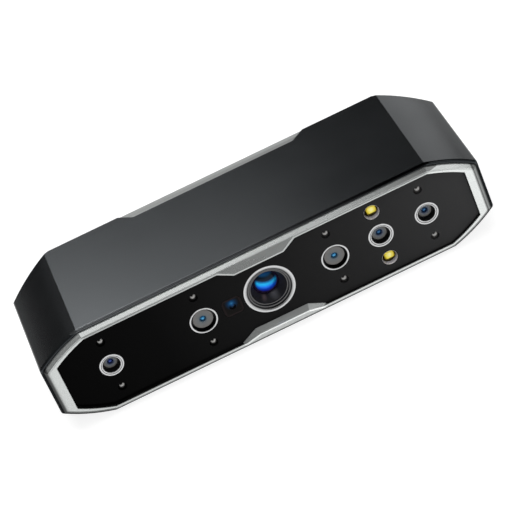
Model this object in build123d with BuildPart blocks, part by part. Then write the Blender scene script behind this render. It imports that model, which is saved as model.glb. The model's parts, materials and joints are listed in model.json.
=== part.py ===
from build123d import *
from math import hypot, sqrt
import os

# A hand-held three-d scanner: a slim bar whose black window holds four infrared cameras, a colour camera
# and a pattern projector. Sizes are millimetres. +X runs to the right seen from the front, the window
# faces -Y and +Z is up. The origin is at the bottom centre of the whole scanner.

# Housing sleeve
housing_width = 159.4
housing_height = 36.2
housing_depth = 51.2
housing_wall = 1.8
corner_run = 16.75  # width of a slanted corner
corner_drop = 8.3  # height of a slanted corner
corner_bow = 0.8  # how far a slanted corner bulges from its chord
corner_radius = 1.2
housing_edge = 0.5  # chamfer round the sleeve's rear rim
front_round = 0.85  # rounding of the sleeve's front rim
rear_bevel = 18.25  # width of the slanted stretch at each end of the rear edge
rear_setback = 7.4  # how far that stretch comes forward
notch_rear_half = 35.7  # half width of the rear notch at the sleeve's edge
notch_inner_half = 30.2
notch_depth = 4.4
notch_radius = 1.2
sleeve_fit = 0.15  # gap between the sleeve and what slides into it

# Tripod socket in the underside, for a quarter-inch camera screw
tripod_bore = 2.55  # radius of the tapping hole
insert_radius = 5.2
insert_length = 7.0
insert_fit = 0.02
boss_wall = 2.6
boss_cap = 0.8

# Front bezel
bezel_inset = 1.1  # from the sleeve's outline
bezel_proud = 1.87  # how far the lip stands in front of the sleeve
bezel_chamfer = 1.16
lip_bevel = 0.3  # the finer chamfer between the first one and the lip
bezel_skirt = 4.05  # depth of the skirt behind the gasket ledge
ledge_width = 1.0  # how far the gasket ledge reaches under the window
tab_free_share = 0.526  # of the space between projector and window edge, left free by a tab
tab_base_half = 15.1  # half width of a tab where its foot meets the window's edge
tab_foot_half = 9.6  # half width of its foot on the window
tab_tip_half = 9.0  # half width of its front edge
tab_lean = 0.73  # how far the front edge lies back from the foot
tab_edge = 0.5  # width of the flat front edge
tab_ledge_share = 0.3  # of the space between projector and tab, taken by the ledge under the tab
tab_proud = 1.34  # how far the front edge stands before the lip

# Window and gasket
window_inset = 3.0  # from the sleeve's outline, top and bottom
window_end_inset = 5.5
window_recess = 1.42  # behind the lip
window_thickness = 1.1
window_fit = 0.1
gasket_thickness = 0.3

# Cameras, seen from the front
far_camera_gap = 22.0  # from a far camera to the sleeve's end
near_camera_x = 24.1
far_ring = 4.21
far_well = 3.07
far_nose = 2.35
far_nose_depth = 2.15
far_pupil = 0.95
near_ring = 4.88
near_well = 4.23
near_nose = 3.5
near_nose_depth = 1.2
near_pupil = 1.0
colour_ring = 4.43
colour_well = 3.3
colour_nose = 2.6
colour_nose_depth = 2.0
colour_pupil = 1.0
ring_proud = 0.15
ring_edge = 0.08
ring_bevel_share = 0.4  # of a ring's width, taken by its inner chamfer
ring_lap = 0.3  # how far a ring's flange laps over the window
ring_tail = 1.35  # how far a ring reaches behind the window
nose_wall = 0.6
pupil_flare = 0.3
lens_fit = 0.05
lens_thickness = 1.2
lens_bulge = 0.4
barrel_fit = 0.05
barrel_flange = 0.5
flange_thickness = 2.0
sensor_board_gap = 1.8  # between two neighbouring boards
sensor_board_height = 13.0
sensor_board_thickness = 1.2
board_corner = 1.0

# Pattern projector
projector_ring = 9.0
projector_well = 7.8
projector_nose = 7.6
projector_flange = 1.0
projector_nose_depth = 0.6
projector_step = 0.65  # width of each stepped ring inside the barrel
projector_step_drop = 0.5
projector_cone_depth = 2.6
projector_pupil = 4.6
projector_lens_bulge = 1.7
projector_lens_thickness = 2.0
projector_spacer_wall = 0.8
engine_width = 13.0
engine_edge = 1.0
sink_base = 2.5
sink_gap = 1.5  # between the heat sink and the main board
fin_count = 6
fin_thickness = 1.0

# Leds and distance sensor
led_share = 0.539  # of the way from a near camera's ring to the gasket ledge, where the leds lie
led_hole = 1.5
led_base_radius = 1.3
led_dome_radius = 1.05
led_dome_setback = 0.75  # from the window's face to a dome's tip
led_base_height = 2.4
white_cup_radius = 2.7
white_cup_wall = 0.3
white_chip = 3.3
white_chip_setback = 2.2
distance_sensor_x = 13.5
distance_tile = 6.6
distance_tile_corner = 1.4
distance_body = 6.0
distance_pupil = 1.15
distance_lens_setback = 0.5
led_board_thickness = 1.2
led_board_gap = 0.25
board_hole_gap = 0.3

# Optical bench and what stands behind it
bench_thickness = 4.0
pocket_width = 5.0  # of the bench's pockets behind the infrared leds
pocket_height = 4.0
post_edge_gap = 4.3  # from the sleeve's inner wall to a post's axis
post_radius = 2.4
post_hole = 1.0
post_hole_depth = 6.0
stud_radius = 0.9
stud_grip = 3.0  # how far a post's stud reaches into what it screws into
rear_bay = 10.4  # from the main board to the rear cover's inner face
main_board_thickness = 1.6
main_board_gap = 1.5  # from the sleeve's inner wall
main_board_end_gap = 17.45  # from the sleeve's end
processor_end_gap = 23.25  # from the main board's end
processor_width = 22.0
shield_height = 1.6
pad_thickness = 0.6
pad_margin = 2.0
spreader_thickness = 1.2
spreader_overhang = 2.0
spreader_gap = 0.4  # from the heat spreader to the posts
cable_width = 6.0
cable_thickness = 0.3
cable_bulge = 3.0

# Rear cover
rear_inset = 1.2
rear_proud = 0.8
rear_edge = 0.4
rear_plate = 2.0
rear_skirt = 7.0
rear_skirt_wall = 1.4
rear_tab_fit = 0.15
rear_tab_sink = 0.1  # of the tab's front edge below the sleeve's face
vent_x = 31.5
vent_pitch = 3.6
vent_margin = 2.0  # between the last vent and the USB-C socket
vent_length = 13.0
vent_width = 1.5
screw_boss_radius = 3.4
screw_boss_height = 1.4
screw_radius = 0.9
screw_length = 5.0
screw_head_radius = 1.9
screw_head_height = 1.3
screw_hole_gap = 0.15
small_screw_radius = 0.75
small_screw_length = 6.0
small_head_radius = 1.45
small_head_height = 1.0
end_screw_drop = 3.8  # from a slanted corner to an end screw

# Buttons and status light
panel_half = 29.0
panel_top_half = 22.0
panel_half_height = 9.4
panel_corner = 1.0
panel_thickness = 0.8
panel_fit = 0.1
scan_radius = 6.0
side_radius = 3.6
side_x = 15.0
button_proud = 0.6
button_gap = 0.3
button_edge = 0.4
button_dish = 0.3
button_travel = 0.5
flange_reach = 0.9
button_flange = 0.9
flange_gap = 0.1
stem_radius = 1.4
stem_gap = 0.35
switch_width = 6.0
switch_height = 2.6
switch_gap = 0.4  # left between cap and switch at full travel
switch_well = 1.6
button_board_width = 52.0
button_board_height = 19.0
button_board_thickness = 1.2
board_post_x = 22.5
board_post_radius = 1.9
light_radius = 0.7
light_z = 8.0
light_gap = 0.1

# USB-C socket
usb_end_gap = 8.25  # from the main board's end
usb_width = 8.94
usb_height = 3.26
usb_wall = 0.3
usb_depth = 6.2
usb_recess = 0.3  # of its mouth behind the rear cover's face
usb_gap = 0.2
tongue_width = 6.7
tongue_thickness = 0.7
tongue_length = 4.5

# Places along Y, from the front to the rear
overall_depth = bezel_proud + tab_proud + housing_depth + rear_proud + button_proud
front = bezel_proud + tab_proud - overall_depth / 2
rear = front + housing_depth
lip = front - bezel_proud
tab_face = lip - tab_proud
window_front = lip + window_recess
window_back = window_front + window_thickness
ledge = window_back + gasket_thickness
bench_front = ledge + bezel_skirt
bench_back = bench_front + bench_thickness
led_board_front = bench_front - led_board_thickness
ring_front = window_front - ring_proud
ring_back = window_back + ring_tail
flange_back = bench_back + flange_thickness
sensor_board_back = flange_back + sensor_board_thickness
rear_face = rear + rear_proud
rear_inner = rear_face - rear_plate
main_board_back = rear_inner - rear_bay
main_board_front = main_board_back - main_board_thickness
sink_back = main_board_front - sink_gap
engine_back = (flange_back + sink_back) / 2
boss_face = rear_inner - screw_boss_height
flange_top = rear_inner - flange_gap
flange_bottom = flange_top - button_flange
switch_top = flange_bottom - button_travel - switch_gap
button_board_back = switch_top - switch_height
button_board_front = button_board_back - button_board_thickness

# Places along X and Z
middle = housing_height / 2
half_width = housing_width / 2
far_camera_x = half_width - far_camera_gap
camera_pitch = (far_camera_x - near_camera_x) / 2
colour_camera_x = near_camera_x + camera_pitch
post_x = colour_camera_x + camera_pitch / 2
sensor_board_width = camera_pitch - sensor_board_gap
window_half_height = middle - window_inset
led_z = near_ring + led_share * (window_half_height - ledge_width - near_ring)
tab_foot = projector_ring + tab_free_share * (window_half_height - projector_ring)
tab_ledge = tab_ledge_share * (tab_foot - projector_ring)
tab_tip = tab_foot + tab_lean
bevel_run = lip_bevel / sqrt(2)
crease = middle - bezel_inset - bezel_chamfer + bevel_run
skirt_inset = housing_wall + sleeve_fit
post_z = middle - housing_wall - post_edge_gap
main_board_half = half_width - main_board_end_gap
processor_x = main_board_half - processor_end_gap
processor_height = 2 * (post_z - post_radius - spreader_gap - spreader_overhang)
usb_x = usb_end_gap - main_board_half
vent_room = -usb_x - usb_width / 2 - vent_margin - vent_width / 2 - vent_x
vent_count = 1 + int(vent_room / vent_pitch)
end_screw_x = half_width - (window_end_inset + ledge_width + skirt_inset) / 2
end_screw_z = middle - corner_drop - end_screw_drop
tab_screw_z = (tab_foot - tab_ledge + middle - skirt_inset) / 2
tripod_y = (bench_back + main_board_front) / 2

cameras = {
    "far_left": (-far_camera_x, far_ring, far_well, far_nose, far_nose_depth, far_pupil),
    "near_left": (-near_camera_x, near_ring, near_well, near_nose, near_nose_depth, near_pupil),
    "near_right": (near_camera_x, near_ring, near_well, near_nose, near_nose_depth, near_pupil),
    "colour": (colour_camera_x, colour_ring, colour_well, colour_nose, colour_nose_depth, colour_pupil),
    "far_right": (far_camera_x, far_ring, far_well, far_nose, far_nose_depth, far_pupil),
}
lens_holes = [(camera[0], camera[1] - ring_lap) for camera in cameras.values()]
lens_holes += [(0, projector_ring - ring_lap)]
infrared_x = (-far_camera_x, -near_camera_x, near_camera_x, far_camera_x)
led_places = [(x, z) for x in infrared_x for z in (-led_z, led_z)]
white_places = [(colour_camera_x, -led_z), (colour_camera_x, led_z)]
post_places = [(x, z) for x in (-post_x, post_x) for z in (-post_z, post_z)]
bezel_screw_places = [(x, z) for x in (-end_screw_x, end_screw_x) for z in (-end_screw_z, end_screw_z)]
bezel_screw_places += [(0, -tab_screw_z), (0, tab_screw_z)]
board_post_places = [(-board_post_x, 0), (board_post_x, 0)]
buttons = {
    "scan": (0, scan_radius),
    "plus": (side_x, side_radius),
    "minus": (-side_x, side_radius),
}

os.makedirs("parts", exist_ok=True)


def write(piece, name):
    """Label a finished piece and write it to its own file."""
    piece.part.label = name
    export_step(piece.part, f"parts/{name}.step")


def facing(y):
    """The plane that faces forward at y, centred on the lens line."""
    return Plane(origin=(0, y, middle), x_dir=(1, 0, 0), z_dir=(0, -1, 0))


def outline(inset, end_inset):
    """The sleeve's eight-sided outline drawn in by inset, and by end_inset at its two ends."""
    slant = hypot(corner_run, corner_drop)
    wide = half_width - end_inset
    high = middle - inset
    flat = half_width - corner_run - inset * (slant - corner_run) / corner_drop
    side = high - (wide - flat) * corner_drop / corner_run
    bow = corner_bow * ((wide - flat) / corner_run) ** 2
    bow_x = (flat + wide) / 2 + bow * corner_drop / slant
    bow_z = (high + side) / 2 + bow * corner_run / slant
    with BuildLine() as edge:
        for u in (1, -1):
            Line((-flat, u * high), (flat, u * high))
            Line((u * wide, -side), (u * wide, side))
            for v in (1, -1):
                ThreePointArc((u * flat, v * high), (u * bow_x, v * bow_z), (u * wide, v * side))
    make_face(edge.edges())


def tab_outlines(grow, edge, mode):
    """The two bezel tabs' feet on the window, grown by a clearance and drawn out to an edge."""
    for side in (1, -1):
        foot = side * (tab_foot - grow)
        base = side * window_half_height
        foot_half = tab_foot_half + grow
        base_half = tab_base_half + grow
        with BuildLine() as line:
            Polyline(
                (-base_half, side * edge),
                (-base_half, base),
                (-foot_half, foot),
                (foot_half, foot),
                (base_half, base),
                (base_half, side * edge),
                close=True,
            )
        make_face(line.edges(), mode=mode)


def circles(places, radius, mode=Mode.ADD):
    """A circle of one radius at each place."""
    with Locations(*places):
        Circle(radius, mode=mode)


def rear_planes(stand_off):
    """The rear plane and the two slanted end planes, moved back by stand_off and facing outwards."""
    slope = hypot(rear_bevel, rear_setback)
    planes = [Plane(origin=(0, rear + stand_off, 0), z_dir=(0, 1, 0))]
    for side in (1, -1):
        outward = Vector(side * rear_setback, rear_bevel, 0) / slope
        start = Vector(side * (half_width - rear_bevel), rear, 0) + outward * stand_off
        planes.append(Plane(origin=start, z_dir=outward))
    return planes


def rear_block(inset, start, stand_off):
    """A solid block with the sleeve's outline from start back to the rear faces."""
    with BuildPart() as block:
        with BuildSketch(facing(start)):
            outline(inset, inset)
        extrude(amount=start - rear - 2 * abs(stand_off) - housing_edge)
        for plane in rear_planes(stand_off):
            split(bisect_by=plane, keep=Keep.BOTTOM)
    return block.part


def rim_edges(faces):
    """The edges round a group of faces, without those that two of the faces share."""
    edges = [edge for face in faces for edge in face.outer_wire().edges()]
    return [edge for edge in edges if sum(edge.center() == other.center() for other in edges) == 1]


def rear_faces(part):
    """The faces of a block that look to the rear."""
    return part.faces().filter_by(lambda face: face.normal_at().Y > 0.5)


def spin_axis(x, z=0.0):
    """The front-to-rear axis at x and a height z over the lens line."""
    return Axis((x, 0, middle + z), (0, 1, 0))


def turned(x, points, bulge=0.0, z=0.0):
    """Turn a closed profile of (radius, y) points. A bulge joins the last point to the first by a dome."""
    with BuildSketch(Plane(origin=(x, 0, middle + z))) as profile:
        with BuildLine():
            Polyline(*points, close=not bulge)
            if bulge:
                tip, rim = points[-1], points[0]
                ball = (rim[0] ** 2 + bulge**2) / (2 * bulge)
                halfway = rim[0] / 2
                way = 1 if rim[1] > tip[1] else -1
                ThreePointArc(tip, (halfway, tip[1] + way * (ball - sqrt(ball**2 - halfway**2))), rim)
        make_face()
    revolve(profile.sketch, axis=spin_axis(x, z))


# Housing shell
with BuildPart() as housing_shell:
    add(rear_block(0, front, 0))
    chamfer(rim_edges(rear_faces(housing_shell.part)), housing_edge)
    fillet(edges().filter_by(Axis.Y), corner_radius)
    fillet(faces().sort_by(Axis.Y)[0].outer_wire().edges(), front_round)
    with BuildSketch(facing(front)):
        outline(housing_wall, housing_wall)
    extrude(amount=-housing_depth, mode=Mode.SUBTRACT)
    with BuildSketch(Plane.XY) as notch:
        with BuildLine():
            Polyline(
                (-notch_rear_half, rear + notch_depth),
                (-notch_rear_half, rear),
                (-notch_inner_half, rear - notch_depth),
                (notch_inner_half, rear - notch_depth),
                (notch_rear_half, rear),
                (notch_rear_half, rear + notch_depth),
                close=True,
            )
        make_face()
        fillet(notch.vertices().group_by(Axis.Y)[0], notch_radius)
    extrude(amount=housing_height, mode=Mode.SUBTRACT)
    with BuildSketch(Plane.XY):
        circles([(0, tripod_y)], insert_radius + insert_fit + boss_wall)
    extrude(amount=insert_length + boss_cap)
    with BuildSketch(Plane.XY):
        circles([(0, tripod_y)], insert_radius + insert_fit)
    extrude(amount=insert_length, mode=Mode.SUBTRACT)
write(housing_shell, "housing_shell")

# Tripod insert
with BuildPart() as tripod_insert:
    with BuildSketch(Plane.XY):
        circles([(0, tripod_y)], insert_radius)
        circles([(0, tripod_y)], tripod_bore, Mode.SUBTRACT)
    extrude(amount=insert_length)
write(tripod_insert, "tripod_insert")

# Bezel tab: a block trimmed by a leaning wall, a sloping brow and, at each end, a wall and a ramp
with BuildPart() as bezel_tab:
    with BuildSketch(facing(tab_face)):
        with Locations((0, (tab_foot + crease) / 2)):
            Rectangle(2 * tab_base_half, crease - tab_foot)
    extrude(amount=tab_face - window_front)
    along = Vector(1, 0, 0)
    foot_line = Vector(0, window_front, middle + tab_foot)
    tip_line = Vector(0, tab_face, middle + tab_tip)
    brow_line = Vector(0, tab_face, middle + tab_tip + tab_edge)
    crease_line = Vector(0, lip + bevel_run, middle + crease)
    split(bisect_by=Plane(origin=tip_line, z_dir=(foot_line - tip_line).cross(along)), keep=Keep.BOTTOM)
    split(bisect_by=Plane(origin=brow_line, z_dir=along.cross(crease_line - brow_line)), keep=Keep.BOTTOM)
    for side in (1, -1):
        foot_end = foot_line + Vector(side * tab_foot_half, 0, 0)
        tip_end = tip_line + Vector(side * tab_tip_half, 0, 0)
        base_end = Vector(side * tab_base_half, window_front, middle + window_half_height)
        wall = (foot_end - tip_end).cross(base_end - tip_end) * side
        root_end = base_end + Vector(wall.Y / wall.X, -1, 0) * window_recess
        slope = root_end - tip_end
        ramp = slope.cross(Vector(-slope.Z, 0, slope.X))
        for facet in (wall, ramp):
            split(bisect_by=Plane(origin=tip_end, z_dir=facet), keep=Keep.BOTTOM)

# Front bezel
with BuildPart() as front_bezel:
    with BuildSketch(facing(lip)):
        outline(bezel_inset, bezel_inset)
    extrude(amount=lip - front)
    for size in (bezel_chamfer, lip_bevel):
        chamfer(faces().sort_by(Axis.Y)[0].outer_wire().edges(), size)
    with BuildSketch(facing(front)):
        outline(skirt_inset, skirt_inset)
    extrude(amount=front - bench_front)
    with BuildSketch(facing(lip)):
        outline(window_inset, window_end_inset)
    extrude(amount=lip - ledge, mode=Mode.SUBTRACT)
    with BuildSketch(facing(ledge)):
        outline(window_inset + ledge_width, window_end_inset + ledge_width)
        tab_outlines(tab_ledge, middle, Mode.SUBTRACT)
    extrude(amount=ledge - bench_front, mode=Mode.SUBTRACT)
    with BuildSketch(facing(window_front)):
        tab_outlines(0, crease, Mode.ADD)
    extrude(amount=window_front - ledge)
    add(bezel_tab.part)
    mirror(bezel_tab.part, about=Plane.XY.offset(middle))
    with BuildSketch(facing(bench_front)):
        circles(bezel_screw_places, small_screw_radius + barrel_fit)
    extrude(amount=small_screw_length - bench_thickness, mode=Mode.SUBTRACT)
write(front_bezel, "front_bezel")

# Front window
with BuildPart() as front_window:
    with BuildSketch(facing(window_front)):
        outline(window_inset + window_fit, window_end_inset + window_fit)
        tab_outlines(window_fit, middle, Mode.SUBTRACT)
        for x, radius in lens_holes:
            circles([(x, 0)], radius + window_fit, Mode.SUBTRACT)
        circles(led_places, led_hole, Mode.SUBTRACT)
        circles(white_places, white_cup_radius + window_fit, Mode.SUBTRACT)
        with Locations((-distance_sensor_x, 0)):
            side = distance_tile + 2 * window_fit
            RectangleRounded(side, side, distance_tile_corner, mode=Mode.SUBTRACT)
    extrude(amount=-window_thickness)
write(front_window, "front_window")

# Window gasket
with BuildPart() as window_gasket:
    with BuildSketch(facing(window_back)):
        outline(window_inset + window_fit, window_end_inset + window_fit)
        tab_outlines(window_fit, middle, Mode.SUBTRACT)
    extrude(amount=-gasket_thickness)
    with BuildSketch(facing(window_back)):
        outline(window_inset + ledge_width, window_end_inset + ledge_width)
        tab_outlines(tab_ledge, middle, Mode.SUBTRACT)
    extrude(amount=-gasket_thickness, mode=Mode.SUBTRACT)
write(window_gasket, "window_gasket")

# Led board
with BuildPart() as led_board:
    with BuildSketch(facing(led_board_front)):
        outline(window_inset + ledge_width + led_board_gap, window_end_inset + ledge_width + led_board_gap)
        tab_outlines(tab_ledge + led_board_gap, middle, Mode.SUBTRACT)
        for x, radius in lens_holes:
            circles([(x, 0)], radius + board_hole_gap, Mode.SUBTRACT)
    extrude(amount=-led_board_thickness)
write(led_board, "led_board")

# Optical bench
with BuildPart() as optical_bench:
    with BuildSketch(facing(bench_front)):
        outline(skirt_inset, skirt_inset)
        for x, radius in lens_holes:
            circles([(x, 0)], radius + barrel_fit, Mode.SUBTRACT)
        circles(bezel_screw_places, small_screw_radius + screw_hole_gap, Mode.SUBTRACT)
        circles(post_places, post_hole, Mode.SUBTRACT)
        with Locations(*led_places):
            SlotOverall(pocket_width, pocket_height, mode=Mode.SUBTRACT)
    extrude(amount=-bench_thickness)
write(optical_bench, "optical_bench")

# Infrared leds, a domed can each
with BuildPart() as infrared_leds:
    dome_tip = window_front + led_dome_setback
    base_top = led_board_front - led_base_height
    for x, z in led_places:
        turned(x, [(led_dome_radius, dome_tip + led_dome_radius), (led_dome_radius, base_top),
                   (led_base_radius, base_top), (led_base_radius, led_board_front), (0, led_board_front),
                   (0, dome_tip)], led_dome_radius, z)
write(infrared_leds, "infrared_leds")

# White leds and their reflector cups
with BuildPart() as white_leds:
    with BuildSketch(facing(window_front + white_chip_setback)):
        with Locations(*white_places):
            Rectangle(white_chip, white_chip)
    extrude(amount=window_front + white_chip_setback - led_board_front)
write(white_leds, "white_leds")

with BuildPart() as white_led_cups:
    with BuildSketch(facing(window_front)):
        circles(white_places, white_cup_radius)
        circles(white_places, white_cup_radius - white_cup_wall, Mode.SUBTRACT)
    extrude(amount=window_front - led_board_front)
write(white_led_cups, "white_led_cups")

# Distance sensor, its window tile and its lens
with BuildPart() as distance_sensor_window:
    with BuildSketch(facing(window_front)):
        with Locations((-distance_sensor_x, 0)):
            RectangleRounded(distance_tile, distance_tile, distance_tile_corner)
        circles([(-distance_sensor_x, 0)], distance_pupil, Mode.SUBTRACT)
    extrude(amount=-window_thickness)
write(distance_sensor_window, "distance_sensor_window")

with BuildPart() as distance_sensor:
    with BuildSketch(facing(window_back)):
        with Locations((-distance_sensor_x, 0)):
            Rectangle(distance_body, distance_body)
    extrude(amount=window_back - led_board_front)
write(distance_sensor, "distance_sensor")

with BuildPart() as distance_sensor_lens:
    lens_tip = window_front + distance_lens_setback
    lens_rim = distance_pupil - lens_fit
    profile = [(lens_rim, window_back), (0, window_back), (0, lens_tip)]
    turned(-distance_sensor_x, profile, window_back - lens_tip)
write(distance_sensor_lens, "distance_sensor_lens")


def lens_ring(x, ring, well, name):
    """A trim ring whose flange laps over the window and whose tail meets the barrel's shoulder."""
    bevel = ring_bevel_share * (ring - well)
    with BuildPart() as trim:
        turned(x, [(well, ring_front + bevel / 2), (well + bevel, ring_front), (ring - ring_edge, ring_front),
                   (ring, ring_front + ring_edge), (ring, window_front), (ring - ring_lap, window_front),
                   (ring - ring_lap, ring_back), (well, ring_back)])
    write(trim, name)


def sensor_board(x, name):
    """The small board behind one camera."""
    with BuildPart() as board:
        with BuildSketch(facing(flange_back)):
            with Locations((x, 0)):
                RectangleRounded(sensor_board_width, sensor_board_height, board_corner)
        extrude(amount=-sensor_board_thickness)
    write(board, name)


# Cameras
for name, (x, ring, well, nose, nose_depth, pupil) in cameras.items():
    lens_ring(x, ring, well, f"{name}_camera_ring")
    body = ring - ring_lap
    nose_front = ring_front + nose_depth
    seat = nose_front + nose_wall
    chamber = nose - nose_wall
    with BuildPart() as barrel:
        turned(x, [(pupil + pupil_flare, nose_front), (nose, nose_front), (nose, ring_back),
                   (body, ring_back), (body, bench_back), (body + barrel_flange, bench_back),
                   (body + barrel_flange, flange_back), (chamber, flange_back), (chamber, seat),
                   (pupil, seat), (pupil, nose_front + pupil_flare)])
    write(barrel, f"{name}_camera_barrel")
    with BuildPart() as lens:
        turned(x, [(pupil - lens_fit, seat), (chamber - lens_fit, seat),
                   (chamber - lens_fit, seat + lens_thickness), (0, seat + lens_thickness),
                   (0, seat - lens_bulge)], lens_bulge)
    write(lens, f"{name}_camera_lens")
    sensor_board(x, f"{name}_camera_board")

# Projector ring and barrel with stepped rings down to its lens
lens_ring(0, projector_ring, projector_well, "projector_ring")
projector_front = ring_front + projector_nose_depth
projector_body = projector_ring - ring_lap
step_back = projector_front + 2 * projector_step_drop
cone_back = step_back + projector_cone_depth
projector_seat = cone_back + nose_wall
projector_chamber = projector_nose - 2 * projector_step
with BuildPart() as projector_barrel:
    profile = [(projector_nose, ring_back), (projector_nose, projector_front)]
    for step in (1, 2):
        radius = projector_nose - step * projector_step
        depth = projector_front + step * projector_step_drop
        profile += [(radius, depth - projector_step_drop), (radius, depth)]
    flange = projector_body + projector_flange
    profile += [(projector_pupil, cone_back), (projector_pupil, projector_seat),
                (projector_chamber, projector_seat), (projector_chamber, flange_back), (flange, flange_back),
                (flange, bench_back), (projector_body, bench_back), (projector_body, ring_back)]
    turned(0, profile)
write(projector_barrel, "projector_barrel")

# Projector lenses and the spacer between them
projector_lens = projector_chamber - lens_fit
front_lens_back = projector_seat + projector_lens_thickness
rear_lens_front = flange_back - projector_lens_thickness
with BuildPart() as projector_front_lens:
    turned(0, [(projector_pupil - lens_fit, projector_seat), (projector_lens, projector_seat),
               (projector_lens, front_lens_back), (0, front_lens_back),
               (0, projector_seat - projector_lens_bulge)], projector_lens_bulge)
write(projector_front_lens, "projector_front_lens")

with BuildPart() as projector_lens_spacer:
    with BuildSketch(facing(front_lens_back)):
        circles([(0, 0)], projector_lens)
        circles([(0, 0)], projector_lens - projector_spacer_wall, Mode.SUBTRACT)
    extrude(amount=front_lens_back - rear_lens_front)
write(projector_lens_spacer, "projector_lens_spacer")

with BuildPart() as projector_rear_lens:
    with BuildSketch(facing(rear_lens_front)):
        circles([(0, 0)], projector_lens)
    extrude(amount=-projector_lens_thickness)
write(projector_rear_lens, "projector_rear_lens")

# Projector light engine and heat sink
with BuildPart() as projector_light_engine:
    with BuildSketch(facing(flange_back)):
        Rectangle(engine_width, engine_width)
    extrude(amount=flange_back - engine_back)
    chamfer(edges().filter_by(Axis.Y), engine_edge)
write(projector_light_engine, "projector_light_engine")

with BuildPart() as projector_heat_sink:
    with BuildSketch(facing(engine_back)):
        Rectangle(engine_width, engine_width)
    extrude(amount=-sink_base)
    with BuildSketch(facing(engine_back + sink_base)):
        with GridLocations((engine_width - fin_thickness) / (fin_count - 1), 0, fin_count, 1):
            Rectangle(fin_thickness, engine_width)
    extrude(amount=engine_back + sink_base - sink_back)
write(projector_heat_sink, "projector_heat_sink")


def posts(start, end, stud_length, name):
    """Four hexagon posts with a tapped hole in their rear ends and a stud on their front ends."""
    with BuildPart() as group:
        with BuildSketch(facing(start)):
            with Locations(*post_places):
                RegularPolygon(post_radius, 6)
        extrude(amount=start - end)
        with BuildSketch(facing(start)):
            circles(post_places, stud_radius)
        extrude(amount=stud_length)
        with BuildSketch(facing(end)):
            circles(post_places, post_hole)
        extrude(amount=post_hole_depth, mode=Mode.SUBTRACT)
    write(group, name)


# Main board between two rows of posts
posts(bench_back, main_board_front, stud_grip, "bench_posts")
posts(main_board_back, boss_face, main_board_thickness + stud_grip, "rear_posts")
with BuildPart() as main_board:
    with BuildSketch(facing(main_board_front)):
        RectangleRounded(2 * main_board_half, 2 * (middle - housing_wall - main_board_gap), board_corner)
        circles(post_places, post_hole, Mode.SUBTRACT)
    extrude(amount=-main_board_thickness)
write(main_board, "main_board")


def processor_plate(start, grow, thickness, name):
    """A flat rectangle over the processor, grown on every side."""
    with BuildPart() as plate:
        with BuildSketch(facing(start)):
            with Locations((processor_x, 0)):
                RectangleRounded(processor_width + 2 * grow, processor_height + 2 * grow, board_corner)
        extrude(amount=-thickness)
    write(plate, name)


# Processor shield, thermal pad and heat spreader
processor_plate(main_board_back, 0, shield_height, "processor_shield")
processor_plate(main_board_back + shield_height, -pad_margin, pad_thickness, "thermal_pad")
processor_plate(main_board_back + shield_height + pad_thickness, spreader_overhang, spreader_thickness,
                "heat_spreader")

# Flat camera cables, bowed between the sensor boards and the main board
with BuildPart() as camera_cables:
    for x, *_ in cameras.values():
        with BuildSketch(Plane(origin=(x, 0, middle), x_dir=(0, 1, 0), z_dir=(1, 0, 0))):
            halfway = (sensor_board_back + main_board_front) / 2
            with BuildLine():
                ThreePointArc((sensor_board_back, 0), (halfway, cable_bulge), (main_board_front, 0))
                Line((main_board_front, 0), (main_board_front, cable_thickness))
                ThreePointArc((main_board_front, cable_thickness), (halfway, cable_bulge + cable_thickness),
                              (sensor_board_back, cable_thickness))
                Line((sensor_board_back, cable_thickness), (sensor_board_back, 0))
            make_face()
        extrude(amount=cable_width / 2, both=True)
write(camera_cables, "camera_cables")

# USB-C socket standing on the main board
usb_mouth = rear_face - usb_recess
with BuildPart() as usb_c_socket:
    with BuildSketch(facing(main_board_back)):
        with Locations((usb_x, 0)):
            SlotOverall(usb_width, usb_height)
    extrude(amount=main_board_back - usb_mouth)
    with BuildSketch(facing(usb_mouth)):
        with Locations((usb_x, 0)):
            SlotOverall(usb_width - 2 * usb_wall, usb_height - 2 * usb_wall)
    extrude(amount=usb_depth, mode=Mode.SUBTRACT)
    with BuildSketch(facing(usb_mouth - usb_depth)):
        with Locations((usb_x, 0)):
            Rectangle(tongue_width, tongue_thickness)
    extrude(amount=-tongue_length)
write(usb_c_socket, "usb_c_socket")


def panel_outline(grow):
    """The button panel's six-sided outline, grown by a clearance."""
    with BuildLine() as line:
        Polyline(
            (-panel_half - grow, 0),
            (-panel_top_half - grow, panel_half_height + grow),
            (panel_top_half + grow, panel_half_height + grow),
            (panel_half + grow, 0),
            (panel_top_half + grow, -panel_half_height - grow),
            (-panel_top_half - grow, -panel_half_height - grow),
            close=True,
        )
    face = make_face(line.edges())
    fillet(face.vertices(), panel_corner)


def button_holes(mode=Mode.ADD):
    """The openings round the three buttons and the status light."""
    for x, radius in buttons.values():
        circles([(x, 0)], radius + button_gap, mode)
    circles([(0, light_z)], light_radius + light_gap, mode)


# Rear cover: a plate with slanted ends, a skirt inside the sleeve and a tab in each notch of the sleeve
tab_front = rear - notch_depth + rear_tab_fit
with BuildPart() as rear_tab:
    with BuildSketch(Plane.XY.offset(middle)) as tab_plan:
        with BuildLine():
            Polyline(
                (-notch_inner_half + rear_tab_fit, tab_front),
                (notch_inner_half - rear_tab_fit, tab_front),
                (notch_rear_half - rear_tab_fit, rear),
                (notch_rear_half - rear_tab_fit, rear_face),
                (-notch_rear_half + rear_tab_fit, rear_face),
                (-notch_rear_half + rear_tab_fit, rear),
                close=True,
            )
        make_face()
        fillet(tab_plan.vertices().group_by(Axis.Y)[0], notch_radius)
    extrude(amount=middle)
    high_edge = Vector(0, tab_front, housing_height - rear_tab_sink)
    low_edge = Vector(0, rear_face, housing_height - rear_inset)
    facet = Vector(1, 0, 0).cross(low_edge - high_edge)
    split(bisect_by=Plane(origin=high_edge, z_dir=facet), keep=Keep.BOTTOM)

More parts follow.
